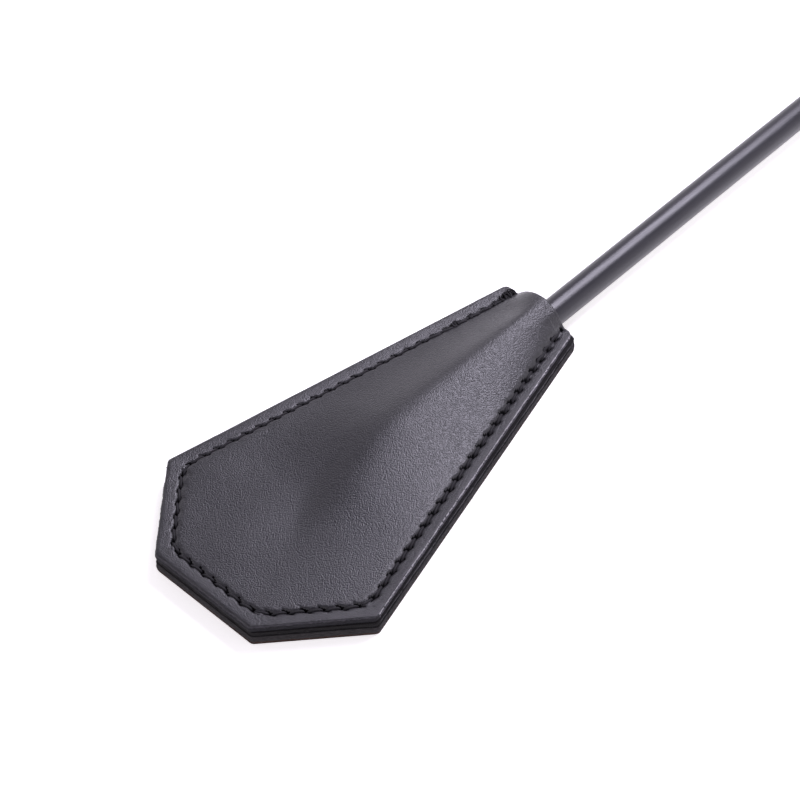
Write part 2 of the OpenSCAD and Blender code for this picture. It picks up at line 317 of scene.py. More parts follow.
def corner_uvs(uvs, faces, turns):
    """The uvs of every face's corners; a face that closes a ring goes on past the full turn."""
    corners = np.asarray(uvs, np.float32)[faces]
    for axis, turn in enumerate(turns):
        value = corners[..., axis]
        behind = value < value.max(1, keepdims=True) - turn / 2
        corners[..., axis] = np.where(behind & (turn > 0), value + turn, value)
    return corners


def make_piece(name, points, faces, uvs, materials, face_materials=None, turns=(0, 0)):
    """A smooth, closed object from points in mm from the mouth, quads, and a uv pair for each point;
    turns are the uv lengths of a full round."""
    mesh = bpy.data.meshes.new(name)
    faces = np.asarray(faces, np.int32)
    mesh.vertices.add(len(points))
    mesh.vertices.foreach_set("co", to_row(points).astype(np.float32).ravel())
    mesh.loops.add(faces.size)
    mesh.loops.foreach_set("vertex_index", faces.ravel())
    mesh.polygons.add(len(faces))
    mesh.polygons.foreach_set("loop_start", np.arange(0, faces.size, faces.shape[1], dtype=np.int32))
    mesh.update(calc_edges=True)
    layer = mesh.uv_layers.new(name="rest")
    layer.data.foreach_set("uv", corner_uvs(uvs, faces, turns).ravel())
    for material in materials:
        mesh.materials.append(material)
    if face_materials is not None:
        mesh.polygons.foreach_set("material_index", np.asarray(face_materials, np.int32))
    mesh.validate()
    edit = bmesh.new()
    edit.from_mesh(mesh)
    bmesh.ops.remove_doubles(edit, verts=edit.verts, dist=WELD * MM)
    bmesh.ops.holes_fill(edit, edges=[edge for edge in edit.edges if edge.is_boundary], sides=0)
    bmesh.ops.recalc_face_normals(edit, faces=edit.faces)
    edit.to_mesh(mesh)
    edit.free()
    mesh.polygons.foreach_set("use_smooth", np.ones(len(mesh.polygons), bool))
    return add_object(name, mesh)


def finish_piece(piece, body, slot, *nodes):
    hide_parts(*nodes)
    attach(piece, body)


def grid_faces(rows, columns, offset=0, wrap=False, flip=False):
    """Quads between rows x columns points, closed around the columns if wrap."""
    r = np.arange(rows - 1)[:, None]
    c = np.arange(columns if wrap else columns - 1)[None, :]
    n = (c + 1) % columns
    quads = np.stack([r * columns + c, r * columns + n, (r + 1) * columns + n, (r + 1) * columns + c], -1)
    quads = quads.reshape(-1, 4) + offset
    return quads[:, ::-1] if flip else quads


def grid_uvs(along, around):
    """The uv pair of every point of a grid, from its rows' and its columns' places."""
    return np.stack(np.broadcast_arrays(along[:, None], around[None, :]), -1).reshape(-1, 2)


def run_along(line):
    """How far along a line of points each of them is."""
    return np.concatenate([[0], np.cumsum(np.linalg.norm(np.diff(line, axis=0), axis=1))])


def round_angles(count):
    return np.linspace(0, 2 * math.pi, count, endpoint=False)


def smooth(t):
    """An eased step from 0 to 1, while t goes from 0 to 1."""
    t = np.clip(t, 0, 1)
    return t * t * (3 - 2 * t)


def soft_noise(x, y, scale, seed, waves=14):
    """A smooth random field, mostly from -1 to 1, with features of about scale millimetres."""
    draw = np.random.default_rng(seed)
    total = np.zeros(np.broadcast(x, y).shape)
    for _ in range(waves):
        a, p = draw.uniform(0, 2 * math.pi, 2)
        k = draw.uniform(0.6, 1.5) * 2 * math.pi / (2 * scale)
        total += np.sin(k * (np.cos(a) * x + np.sin(a) * y) + p)
    return total / math.sqrt(waves) / 1.4


# ---- the flapper's outline and stitch line ----

OUTLINE = np.array([
    (MOUTH_LEAN, MOUTH_LEFT),
    (WIDEST_X, HALF_W),
    (-FLAPPER_LEN, HALF_TIP),
    (-FLAPPER_LEN, -HALF_TIP),
    (WIDEST_X, -HALF_W),
    (-MOUTH_LEAN, MOUTH_RIGHT),
])

# The top leather was cut a little short on its right side and at the mouth
TOP_OUTLINE = OUTLINE + np.array([(0, 0), (0, 0), (0, 0), (0, 0.4), (0, 0.5), (-0.9, 0.6)])


def unit(v):
    return v / np.linalg.norm(v, axis=-1, keepdims=True)


def inset(points, d):
    """The outline with every side moved inwards by d."""
    sides = unit(np.roll(points, -1, 0) - points)
    normals = np.stack([-sides[:, 1], sides[:, 0]], -1)
    a, b = np.roll(normals, 1, 0), normals
    return points + d * (a + b) / (1 + np.sum(a * b, -1, keepdims=True))


def outline_distance(x, y, points, radius=1.3):
    """Distance to the outline with rounded corners, negative inside, and its outward direction."""
    core = inset(points, radius)
    best = np.full(x.shape, np.inf)
    near_x, near_y = np.zeros(x.shape), np.zeros(x.shape)
    inside = np.ones(x.shape, bool)
    for p, q in zip(core, np.roll(core, -1, 0)):
        side = q - p
        t = np.clip(((x - p[0]) * side[0] + (y - p[1]) * side[1]) / (side @ side), 0, 1)
        dx, dy = x - p[0] - t * side[0], y - p[1] - t * side[1]
        d = np.hypot(dx, dy)
        closer = d < best
        best = np.where(closer, d, best)
        near_x, near_y = np.where(closer, dx, near_x), np.where(closer, dy, near_y)
        inside &= side[0] * (y - p[1]) - side[1] * (x - p[0]) > 0
    sign = np.where(inside, -1.0, 1.0)
    length = np.maximum(best, 1e-9)
    return sign * best - radius, sign * near_x / length, sign * near_y / length


def stitch_line():
    """The line of the stitches, from the mouth's left side round the tip to its right side."""
    corners = inset(OUTLINE, STITCH_INSET)
    reach = STITCH_INSET - MOUTH_MARGIN
    path = [corners[0] + reach * unit(corners[0] - corners[1])]
    for a, b, c in zip(corners[:4], corners[1:5], corners[2:6]):
        p, q = b + CORNER_CUT * unit(a - b), b + CORNER_CUT * unit(c - b)
        path += [(1 - t) ** 2 * p + 2 * t * (1 - t) * b + t * t * q for t in np.linspace(0, 1, 5)]
    path.append(corners[5] + reach * unit(corners[5] - corners[4]))
    return np.array(path)


PATH = stitch_line()
PATH_S = run_along(PATH)
STITCHES = int(PATH_S[-1] // STITCH_PITCH)
PITCH = PATH_S[-1] / STITCHES  # the stitch pitch that fills the whole line


def on_path(s):
    """Points on the stitch line, and its directions there, at distances s along it."""
    i = np.clip(np.searchsorted(PATH_S, s, "right") - 1, 0, len(PATH) - 2)
    ways = unit(np.diff(PATH, axis=0))
    return PATH[i] + (np.asarray(s) - PATH_S[i])[..., None] * ways[i], ways[i]


def path_distance(x, y):
    """Distance to the stitch line and the distance along it of the nearest point."""
    best, along = np.full(x.shape, np.inf), np.zeros(x.shape)
    for p, q, s in zip(PATH, PATH[1:], PATH_S):
        step = np.linalg.norm(q - p)
        side = (q - p) / step
        t = np.clip((x - p[0]) * side[0] + (y - p[1]) * side[1], 0, step)
        d = np.hypot(x - p[0] - t * side[0], y - p[1] - t * side[1])
        closer = d < best
        best, along = np.where(closer, d, best), np.where(closer, s + t, along)
    return best, along


# ---- the shape of the top leather ----

CREST_Y = 1.0  # the ridge's crest is a little to the left of the shaft
CREST_SLACK = 0.25  # room between the shaft and the leather at the crest
RIDGE_LEN = 48.0  # how far in from the mouth the ridge starts to sink
SINK_LEN = 27.0  # over which it sinks to the flat on its left
SINK_MORE = 15.0  # and how much further that takes on its right
SINK_EDGE_Y = 5.0  # where the left's way to sink starts to turn into the right's
SINK_TURN = 13.0  # and over what width it does
# The rest of the ridge's shape is for its left and its right
FOOT_INSET = (STITCH_INSET + 0.3, STITCH_INSET - 0.4)  # its feet, from the flapper's edges
CREST_ROUND = (0.24, 0.11)  # how round the crest is, as a share of the slope's width
SLOPE_POWER = (1.5, 1.06)  # how hollow the slopes are: 1 is straight
ARCH_POWER = (2.2, 1.5)  # how full the arch is that replaces the slopes at the mouth
ARCH_LEN = (0.0, 14.0)  # how far in from the mouth the arch stays whole
ARCH_FADE = (9.0, 26.0)  # and over what length it then turns into the slopes

SHAFT_NOSE = 1.0  # the length of the shaft's end over which the leather rounds down
SHAFT_BLEND = 0.12  # how softly the drape meets the round of the shaft


def side_y(x, left, inset_by):
    """Where a side of the flapper is, at x: the long edge up to the widest point, moved inwards."""
    mouth = MOUTH_LEFT if left else -MOUTH_RIGHT
    lean = MOUTH_LEAN if left else -MOUTH_LEAN
    slope = (HALF_W - mouth) / (lean - WIDEST_X)
    y = mouth + (lean - x) * slope - inset_by * math.hypot(1, slope)
    return y if left else -y


def ridge_height(x, y):
    """How far the top leather stands above the flat where it is draped over the shaft."""
    inwards = -x
    left = y > CREST_Y
    near_mouth = 1 - smooth((inwards - np.where(left, *ARCH_LEN)) / np.where(left, *ARCH_FADE))
    crest = axis_z(x) + SHAFT_R + STRETCHED_T - FLAPPER_TOP + CREST_SLACK
    rightwards = smooth((SINK_EDGE_Y - y) / SINK_TURN)
    fade = 1 - smooth((inwards - RIDGE_LEN) / (SINK_LEN + SINK_MORE * rightwards))
    foot_y = np.where(left, side_y(x, True, FOOT_INSET[0]), side_y(x, False, FOOT_INSET[1]))
    u = np.clip((y - CREST_Y) / (foot_y - CREST_Y), 0, 1)
    turn = np.where(left, *CREST_ROUND)
    slide = (np.sqrt(u * u + turn * turn) - turn) / (np.sqrt(1 + turn * turn) - turn)
    tent = (1 - slide) ** np.where(left, *SLOPE_POWER)
    arch = 1 - u ** np.where(left, *ARCH_POWER)
    drape = crest * fade * (tent + (arch - tent) * near_mouth)
    past_end = np.maximum(inwards + SHAFT_END_X + SHAFT_NOSE, 0)
    over_shaft = (SHAFT_R + TIGHTEST_T) ** 2 - y ** 2 - past_end ** 2
    round_top = axis_z(x) - FLAPPER_TOP + np.sqrt(np.maximum(over_shaft, 0))
    above_drape = np.where(over_shaft > 0, round_top - drape, -math.inf)
    return drape + SHAFT_BLEND * np.logaddexp(0, above_drape / SHAFT_BLEND)


HOLE_HALF_W = 0.33  # half of a needle hole, across its slant
HOLE_HALF_LEN = 1.10  # and along it
HOLE_DEPTH = 0.62
# inside the needle holes the leather is painted near-black as shade
HOLE_SHADE_FROM = 0.30  # from this share of its depth on, a hole's inside is dark
LOCKED_LEN = 50.0  # the left seam is pressed deeper towards the mouth, where it is locked
GROOVE = (0.20, 0.42)  # depth and half width of the groove that the stitches pull
LOCKED_GROOVE = (0.15, 0.25)  # what they grow by where the seam is locked
PRESSED = 0.19  # how far the stitches press the leather down along the tip
PRESSED_SIDES = (0.025, 0.135)  # more on the left than on the right, and more on both
PRESSED_LOCKED = 0.12  # and more again where the seam is locked
SWELL = (0.05, 0.08)  # how far the leather puffs up inside the seam, and more on both sides
SWELL_RISE = 1.5
SWELL_FALL = 14.0
SEAM_WALL = 0.25  # over what width it drops from there into the seam
EDGE_ROLL = (0.20, 0.30)  # depth and width of the rounded edge
WANDER = 0.11  # how uneven the flat is
WANDER_LEN = 13.0


def hole_nearby(inwards, along):
    """1 in each needle hole of the stitch line, which the awl cut aslant, and 0 away from them."""
    away = ((along / PITCH + 0.5) % 1 - 0.5) * PITCH
    across = (inwards + HOLE_SLANT * away) / math.hypot(1, HOLE_SLANT)
    return np.exp(-(across / HOLE_HALF_W) ** 2 - (away / HOLE_HALF_LEN) ** 4)


def stitch_side(x, y):
    """Distances inwards from the stitch line, along it and to the edge, and how far the edge faces left."""
    to_stitch, along = path_distance(x, y)
    to_edge, _, leftwards = outline_distance(x, y, OUTLINE)
    return np.where(-to_edge < STITCH_INSET, -to_stitch, to_stitch), along, -to_edge, leftwards


def top_height(x, y):
    """Height of the top leather's grain side."""
    inwards, along, to_edge, leftwards = stitch_side(x, y)
    to_stitch = np.abs(inwards)
    locked = smooth(1 + x / LOCKED_LEN) * (leftwards > 0.5)
    depth, width = (least + more * locked for least, more in zip(GROOVE, LOCKED_GROOVE))
    pulled = depth * np.exp(-(to_stitch / width) ** 2) + HOLE_DEPTH * hole_nearby(inwards, along)
    pressed = PRESSED + PRESSED_SIDES[0] * leftwards + PRESSED_SIDES[1] * leftwards ** 2
    pressed += PRESSED_LOCKED * locked
    flange = -pressed * (1 - np.clip(to_stitch / STITCH_INSET, 0, 1))
    swell = (SWELL[0] + SWELL[1] * leftwards ** 2) * (1 - np.exp(-to_stitch / SWELL_RISE))
    puff = swell * np.exp(-to_stitch / SWELL_FALL) - pressed * np.exp(-to_stitch / SEAM_WALL)
    shelf = np.where(inwards < 0, flange, puff)
    rolled = EDGE_ROLL[0] * np.exp(-np.maximum(to_edge, 0) / EDGE_ROLL[1])
    wander = WANDER * soft_noise(x, y, WANDER_LEN, 3) * smooth(to_stitch / 8) * smooth(-x / 30)
    return FLAPPER_TOP + ridge_height(x, y) + shelf + wander - pulled - rolled


THINNED_AT = 1.5  # at this height of the ridge the leather has its stretched thickness
THINNEST = 0.4
SHAFT_GAP = 0.05  # between the shaft and the leather over it


def top_underside(x, y, height):
    """The flesh side of the top leather: flat on the stiffener, arched over the shaft."""
    arched = smooth(ridge_height(x, y) / THINNED_AT)
    thickness = (FLAPPER_TOP - STIFFENER_TOP) * (1 - arched) + STRETCHED_T * arched
    beyond = np.maximum(SHAFT_END_X - x, 0)
    shaft_top = axis_z(x) + np.sqrt(np.maximum((SHAFT_R + SHAFT_GAP) ** 2 - y ** 2 - beyond ** 2, 0))
    lowest = np.where(np.hypot(y, beyond) < SHAFT_R, shaft_top, STIFFENER_TOP)
    return np.minimum(np.maximum(lowest, height - thickness), height - THINNEST)


# ---- plies ----

EDGE_BAND = 5.0  # the width of the finely divided bands along a ply's sides
LOWER_UV = 200.0  # keeps the lower face's texture apart from the upper one's
CUT_UV = 6.0  # the uv height of a cut side
BACK_GROOVE = (0.45, 0.6)  # depth and half width of the groove under the flapper
BACK_HOLE_DEPTH = 0.35


def ply_grid(outline, rows, band_step, middle):
    """Points over the outline: fine bands along both sides and wider steps in the middle."""
    widest, tip = outline[1:3, 0]
    share = np.linspace(0, 1, rows)[:, None]
    share[np.argmin(np.abs(share - widest / tip))] = widest / tip
    offsets = np.arange(0, EDGE_BAND + 1e-6, band_step)
    inner = np.linspace(0, 1, middle + 2)[1:-1]
    ends = []
    for side in (outline[:3], outline[:2:-1]):
        x = side[0, 0] + share * (tip - side[0, 0])
        ends.append((x, np.interp(-x, -side[:, 0], side[:, 1])))
    (x_left, y_left), (x_right, y_right) = ends
    left, right = y_left - offsets, (y_right + offsets)[:, ::-1]
    y = np.hstack([left, left[:, -1:] + inner * (right[:, :1] - left[:, -1:]), right])
    t = (y_left - y) / (y_left - y_right)
    return x_left + t * (x_right - x_left), y


def edge_loop(rows, columns):
    """Indices of a grid's border, once round."""
    index = np.arange(rows * columns).reshape(rows, columns)
    return np.concatenate([index[0, :-1], index[:-1, -1], index[-1, :0:-1], index[:0:-1, 0]])


def make_ply(
    name, outline, top, bottom, resolution, wall, fray, materials, face_kinds, wall_kinds, holes=None
):
    """A ply of leather between the heights top and bottom. Its cut side has a ring for each (t, out) in
    wall, t of the way down and bulging by out. The kinds say which of the materials each stretch wears,
    and holes is the one inside the needle holes, a near-black that paints the shade in them."""
    x, y = ply_grid(outline, *resolution)
    d, nx, ny = outline_distance(x, y, outline)
    outside = np.maximum(d, 0)
    x, y = x - nx * outside, y - ny * outside
    count = x.size
    z_top = top(x, y)
    z_bottom = bottom(x, y, z_top)
    upper = np.stack([x, y, z_top], -1).reshape(-1, 3)
    lower = np.stack([x, y, z_bottom], -1).reshape(-1, 3)
    loop = edge_loop(*x.shape)
    along = run_along(upper[loop])
    out = np.stack([nx, ny], -1).reshape(-1, 2)[loop]
    rings, ring_uvs = [], []
    wavy = fray * soft_noise(along, 0, 3.0, 21)
    for t, bulge in wall:
        ring = upper[loop] * (1 - t) + lower[loop] * t
        frayed = wavy + RANDOM.normal(0, fray, len(loop)) * math.sin(math.pi * t)
        ring[:, :2] += out * (bulge + frayed)[:, None]
        rings.append(ring)
        ring_uvs.append(np.stack([along, np.full(len(loop), -CUT_UV * t)], -1))
    points = np.concatenate([upper, lower] + rings)
    flat_uv = upper[:, :2]
    uvs = np.concatenate([flat_uv, flat_uv + LOWER_UV] + ring_uvs)
    faces = [grid_faces(*x.shape), grid_faces(*x.shape, offset=count, flip=True)]
    kinds = [np.full(len(faces[0]), face_kinds[0]), np.full(len(faces[1]), face_kinds[1])]
    # faces deep in a needle hole take the near-black that paints their shade
    if holes is not None:
        centre = upper[faces[0]].mean(1)
        inwards, along_path, _, _ = stitch_side(centre[:, 0], centre[:, 1])
        kinds[0][hole_nearby(inwards, along_path) > HOLE_SHADE_FROM] = holes
    chain = [loop] + [2 * count + k * len(loop) + np.arange(len(loop)) for k in range(len(wall))]
    chain.append(loop + count)
    for a, b, kind in zip(chain[:-1], chain[1:], wall_kinds):
        faces.append(np.stack([a, b, np.roll(b, -1), np.roll(a, -1)], -1))
        kinds.append(np.full(len(a), kind))
    return make_piece(name, points, np.concatenate(faces), uvs, materials, np.concatenate(kinds))


def back_underside(x, y, above):
    """Height of the back leather's outer face, which the bobbin stitches are pulled into."""
    inwards, along, _, _ = stitch_side(x, y)
    groove = BACK_GROOVE[0] * np.exp(-(inwards / BACK_GROOVE[1]) ** 2)
    return groove + BACK_HOLE_DEPTH * hole_nearby(inwards, along)


def flat_at(z):
    return lambda x, y, above=None: np.full(x.shape, z)


def make_flapper():
    grain = grained_leather("top_leather", (0.0175, 0.0170, 0.0195), (0.0235, 0.0228, 0.0255))
    flesh = cut_edge("flesh_side", (0.012, 0.010, 0.010), (0.035, 0.030, 0.028))
    top_cut = cut_edge("top_cut", (0.007, 0.007, 0.009), (0.042, 0.040, 0.048))
    # the lighter copy of the top ply's cut side, kept only on its right-facing side: painted light
    painted_light_cut = cut_edge("top_cut_painted_light", (0.014, 0.013, 0.016), (0.200, 0.190, 0.220), 0.38, 0.66)
    # lip: a pale line at the top of the top ply's cut side, a painted highlight where it faces right; the
    # copy below is that line on the other sides
    lip = cut_edge("top_lip_painted_highlight", (0.060, 0.058, 0.066), (0.78, 0.75, 0.80), 0.38, 0.60)
    plain_lip = cut_edge("plain_lip", (0.014, 0.014, 0.018), (0.14, 0.13, 0.15), 0.42, 0.68)
    # near-black for the insides of the needle holes: painted shade
    painted_hole_shade = cut_edge("needle_holes_painted_shade", (0.0015, 0.0015, 0.002), (0.005, 0.005, 0.006), specular=0.05)
    board = cut_edge("stiffener_cut", (0.005, 0.005, 0.006), (0.026, 0.023, 0.024))
    # the lighter copy of the stiffener's cut side, kept only on its right-facing side: painted light
    painted_light_board = cut_edge("stiffener_cut_painted_light", (0.012, 0.011, 0.013), (0.150, 0.140, 0.155), 0.38, 0.66)
    back_cut = cut_edge("back_cut", (0.010, 0.009, 0.010), (0.100, 0.090, 0.094), 0.42, 0.78)
    rim = cut_edge("back_rim", (0.018, 0.010, 0.009), (0.085, 0.046, 0.036))
    back_grain = grained_leather("back_leather", (0.016, 0.015, 0.017), (0.022, 0.021, 0.023), 3.0, 0.06)

    # the kinds of each ply count through its own materials
    top = make_ply(
        "flapper_top_leather", TOP_OUTLINE, top_height, top_underside, (420, 0.25, 44),
        [(0.03, 0.0), (0.27, 0.07), (0.45, 0.11), (0.65, 0.12), (0.9, 0.04)], 0.07,
        (grain, flesh, painted_light_cut, lip, painted_hole_shade, plain_lip, top_cut), (0, 1), (0, 3, 2, 2, 2, 2), holes=4,
    )
    # away from the right-facing side the lip and the wall take their plain copies, so the painted light
    # stays on the right
    keep_painted_light_on_right(top, {3: 5, 2: 6})
    stiffener = make_ply(
        "flapper_stiffener", OUTLINE, flat_at(STIFFENER_TOP - 0.01), flat_at(BACK_TOP + 0.01),
        (230, 1.0, 10), [(0.1, -0.22), (0.5, -0.12), (0.9, -0.22)], 0.09,
        (painted_light_board, board), (1, 1), (0, 0, 0, 0),
    )
    # only the stiffener's right-facing cut side keeps its lighter copy: painted light
    keep_painted_light_on_right(stiffener, {0: 1})
    back = make_ply(
        "flapper_back_leather", OUTLINE, flat_at(BACK_TOP), back_underside, (300, 0.4, 30),
        [(0.06, 0.0), (0.35, 0.08), (0.7, 0.05), (0.94, -0.05)], 0.08,
        (back_cut, back_grain, rim), (0, 1), (0, 0, 0, 2, 2),
    )
    finish_flapper_piece(top, "flapper_top")
    finish_flapper_piece(stiffener, "flapper_stiffener")
    finish_flapper_piece(back, "flapper_back")


SQUARELY_RIGHT = -0.88  # the Y of a normal that faces the right side


def keep_painted_light_on_right(piece, swaps):
    """Gives the faces of some materials other ones, except on the flapper's right side, where the lighter
    copies stay as painted light.
    """
    count = len(piece.data.polygons)
    kinds, facing, middle = np.empty(count, np.int32), np.empty(3 * count), np.empty(3 * count)
    piece.data.polygons.foreach_get("material_index", kinds)
    piece.data.polygons.foreach_get("normal", facing)
    piece.data.polygons.foreach_get("center", middle)
    past_corner = middle[::3] / MM < MOUTH_X + WIDEST_X + 1.0
    for kind, other in swaps.items():
        kinds[(kinds == kind) & (past_corner | (facing[1::3] > SQUARELY_RIGHT))] = other
    piece.data.polygons.foreach_set("material_index", kinds)


def finish_flapper_piece(piece, node):
    """Puts the piece in place of both halves of a node."""
    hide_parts(f"{node}_neck", f"{node}_tip")
    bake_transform(piece)


# ---- the stitches ----

STRAND_TURN = 0.8  # how far a thread's strands turn, in radians for each radius of its length
STRAND_LOBE = 0.14  # how far they stand out, as a share of its radius
SHOWING = 0.44  # half of the length that a stitch shows, in pitches
DIVE = 1.5  # how deep its ends go
STITCH_R = 0.32
FIRST_SWELL = 0.10  # how much thicker the first stitch is
SECOND_R = 0.42  # the second pass, thicker, higher and to one side
SECOND_LIFT = 0.16
SECOND_SIDE = 0.26
SECOND_PASS = (0, 1, 2, 3, 4, 5, STITCHES - 4, STITCHES - 3, STITCHES - 2)
KNOTS = ((0.3, 1.30), (1.7, 1.15), (4.6, 0.5), (11.2, 0.5), (15.6, 0.7))  # places on the line, and sizes
KNOT_TURNS = 7
KNOT_R = 0.17
NEEDLE_SUNK = 0.33  # how far the needle thread's middle is below the flapper's top
BOBBIN_Z = 0.42  # and the height of the bobbin thread's
THREAD_FLOOR = 0.03  # no thread goes lower than this


def thread_tube(centres, radius, sides=12):
    """Points, faces and uvs of a cord of three strands that follows centres."""
    ways = unit(np.gradient(centres, axis=0))
    side = unit(np.cross(ways, [0.05, 0.02, 1.0]))
    up = np.cross(side, ways)
    run = run_along(centres)
    angle = round_angles(sides)
    strands = np.cos(3 * (angle[None, :] - STRAND_TURN * run[:, None] / radius))
    reach = radius * (1 - STRAND_LOBE + STRAND_LOBE * strands)[..., None]
    ring = np.cos(angle)[None, :, None] * side[:, None] + np.sin(angle)[None, :, None] * up[:, None]
    points = (centres[:, None] + reach * ring).reshape(-1, 3)
    faces = grid_faces(len(centres), sides, wrap=True, flip=True)
    return points, faces, grid_uvs(run, angle * radius)


def join_parts(parts):
    """Several parts' points, faces and uvs as those of one piece."""
    points, faces, uvs = zip(*parts)
    starts = np.cumsum([0] + [len(p) for p in points[:-1]])
    faces = [face + start for face, start in zip(faces, starts)]
    return np.concatenate(points), np.concatenate(faces), np.concatenate(uvs)


def stitch(start, end, radius, level, sign, slant, lift=0.0, offset=0.0):
    """One stitch on the stitch line, up out of one hole and down into the next."""
    u = np.linspace(0, 1, 15)
    place, way = on_path(start + (end - start) * (0.5 + SHOWING * np.sin((u - 0.5) * math.pi)))
    left = np.stack([-way[:, 1], way[:, 0]], -1)
    place = place + left * (slant * (2 * u - 1) + offset)[:, None]
    z = level(place[:, 0], place[:, 1]) + sign * (lift - DIVE * np.abs(2 * u - 1) ** 3)
    return thread_tube(np.column_stack([place, z]), radius)


def stitch_row(level, sign, slant):
    """All stitches of one thread, with a second pass where the seam is locked."""
    parts = []
    for k in range(STITCHES):
        start, end = np.array([k, k + 1]) * PITCH + RANDOM.normal(0, 0.06, 2)
        radius = STITCH_R + FIRST_SWELL * math.exp(-k / 5) + RANDOM.normal(0, 0.015)
        parts.append(stitch(start, end, radius, level, sign, slant))
    for k in SECOND_PASS:
        start = (k + 0.55) * PITCH + RANDOM.normal(0, 0.15)
        offset = SECOND_SIDE + RANDOM.normal(0, 0.12)
        parts.append(stitch(start, start + PITCH, SECOND_R, level, sign, -0.8 * slant, SECOND_LIFT, offset))
    return parts


def knot(centre, size):
    """A small lump of thread: many loose turns."""
    t = np.linspace(0, KNOT_TURNS * 2 * math.pi, 16 * KNOT_TURNS)
    loose = RANDOM.normal(0, 0.03, (len(t), 3))
    shape = np.stack([np.cos(t) * (1 + 0.3 * np.sin(2.3 * t)), np.sin(1.3 * t), 0.55 * np.sin(1.7 * t)], -1)
    return thread_tube(np.asarray(centre) + size * shape + loose, KNOT_R)


def needle_level(x, y):
    """Height of the needle thread's middle on top, which the ridge lifts a little at the mouth."""
    return FLAPPER_TOP - NEEDLE_SUNK + 0.5 * np.minimum(ridge_height(x, y), 0.5)


def make_threads():
    thread = thread_material("thread")
    lumps = []
    for s, size in KNOTS:
        spot, _ = on_path(np.array([s]))
        lumps.append(knot((spot[0, 0], spot[0, 1], needle_level(*spot.T)[0] + 0.1), size))
    for name, level, sign, slant, extra in (
        ("needle", needle_level, 1, 0.30, lumps),
        ("bobbin", flat_at(BOBBIN_Z), -1, 0.18, []),
    ):
        points, faces, uvs = join_parts(stitch_row(level, sign, slant) + extra)
        points[:, 2] = np.maximum(points[:, 2], THREAD_FLOOR)
        piece = make_piece(f"{name}_stitches", points, faces, uvs, [thread])
        finish_flapper_piece(piece, f"{name}_thread")


# ---- round pieces on the shaft's axis ----

HANDLE_X = 235.0
COLLAR_LEN = 15.0
GRIP_LEN = 142.0
RING_LEN = 6.0
CAP_LEN = 18.0
GRIP_FRONT_R = 7.4
GRIP_REAR_R = 8.2
GRIP_X = HANDLE_X + COLLAR_LEN
RING_X = GRIP_X + GRIP_LEN
CAP_X = RING_X + RING_LEN


def on_shaft(points, x):
    """Points drawn with +Z along the shaft, moved to its axis, at x."""
    turn = np.array(Matrix.Rotation(math.pi / 2 - SHAFT_RISE, 3, "Y"))
    return np.asarray(points) @ turn.T + [x, 0, axis_z(x)]


def lathe(name, profile, x, material, warp=None, angle=round_angles(96)):
    """A turned piece from a closed profile of (along, radius) points; warp moves its points outwards."""
    shape = len(profile), len(angle)
    along = np.broadcast_to(profile[:, :1], shape)
    radius = np.broadcast_to(profile[:, 1:], shape).copy()
    if warp is not None:
        radius += warp(along, np.broadcast_to(angle, shape))
    points = np.stack([radius * np.cos(angle), radius * np.sin(angle), along], -1).reshape(-1, 3)
    girth = profile[:, 1].max()
    uvs = grid_uvs(run_along(profile), angle * girth)
    faces = grid_faces(*shape, wrap=True)
    turns = (0, 2 * math.pi * girth)
    return make_piece(name, on_shaft(points, x), faces, uvs, [material], turns=turns)


def rounded(points, radii, steps=6):
    """A profile through points with every inner corner rounded by its radius."""
    points = np.asarray(points, float)
    path = [points[0]]
    for a, b, c, r in zip(points, points[1:], points[2:], radii):
        if r == 0:
            path.append(b)
            continue
        u, v = unit(a - b), unit(c - b)
        half = math.acos(float(np.clip(u @ v, -1, 1))) / 2
        cut = r / math.tan(half)
        p, q = b + cut * u, b + cut * v
        centre = b + r / math.sin(half) * unit(u + v)
        start, end = p - centre, q - centre
        sweep = math.acos(float(np.clip(unit(start) @ unit(end), -1, 1)))
        for t in np.linspace(0, 1, steps):
            arm = math.sin((1 - t) * sweep) * start + math.sin(t * sweep) * end
            path.append(centre + arm / math.sin(sweep))
    path.append(points[-1])
    return np.array(path)


def spread(profile, step):
    """The same profile with points no further apart than step."""
    out = [profile[0]]
    for a, b in zip(profile, profile[1:]):
        n = max(1, math.ceil(np.linalg.norm(b - a) / step))
        out += [a + (b - a) * k / n for k in range(1, n + 1)]
    return np.array(out)


def closed(profile):
    return np.vstack([profile, profile[:1]])


def shaft_waves(s, angle):
    """How far the sleeve's skin is from a true round."""
    return 0.012 * np.sin(s / 9.0 + angle) + 0.010 * np.sin(s / 23.0 + 2 * angle)


def make_shaft():
    plastic = satin_plastic("shaft_plastic", (0.018, 0.0175, 0.022), 0.33, (0.05, 1, 1), 0.45)
    end = GRIP_X - SHAFT_END_X - 0.3
    corners = [(0, SHAFT_BORE_R), (0, SHAFT_R), (end, SHAFT_R), (end, SHAFT_BORE_R)]
    profile = closed(spread(rounded(corners, [0.3, 0.3]), 6))
    piece = lathe("shaft", profile, SHAFT_END_X, plastic, shaft_waves)
    finish_piece(piece, "crop", "shaft_plastic", "shaft_sleeve")


# ---- the handle ----


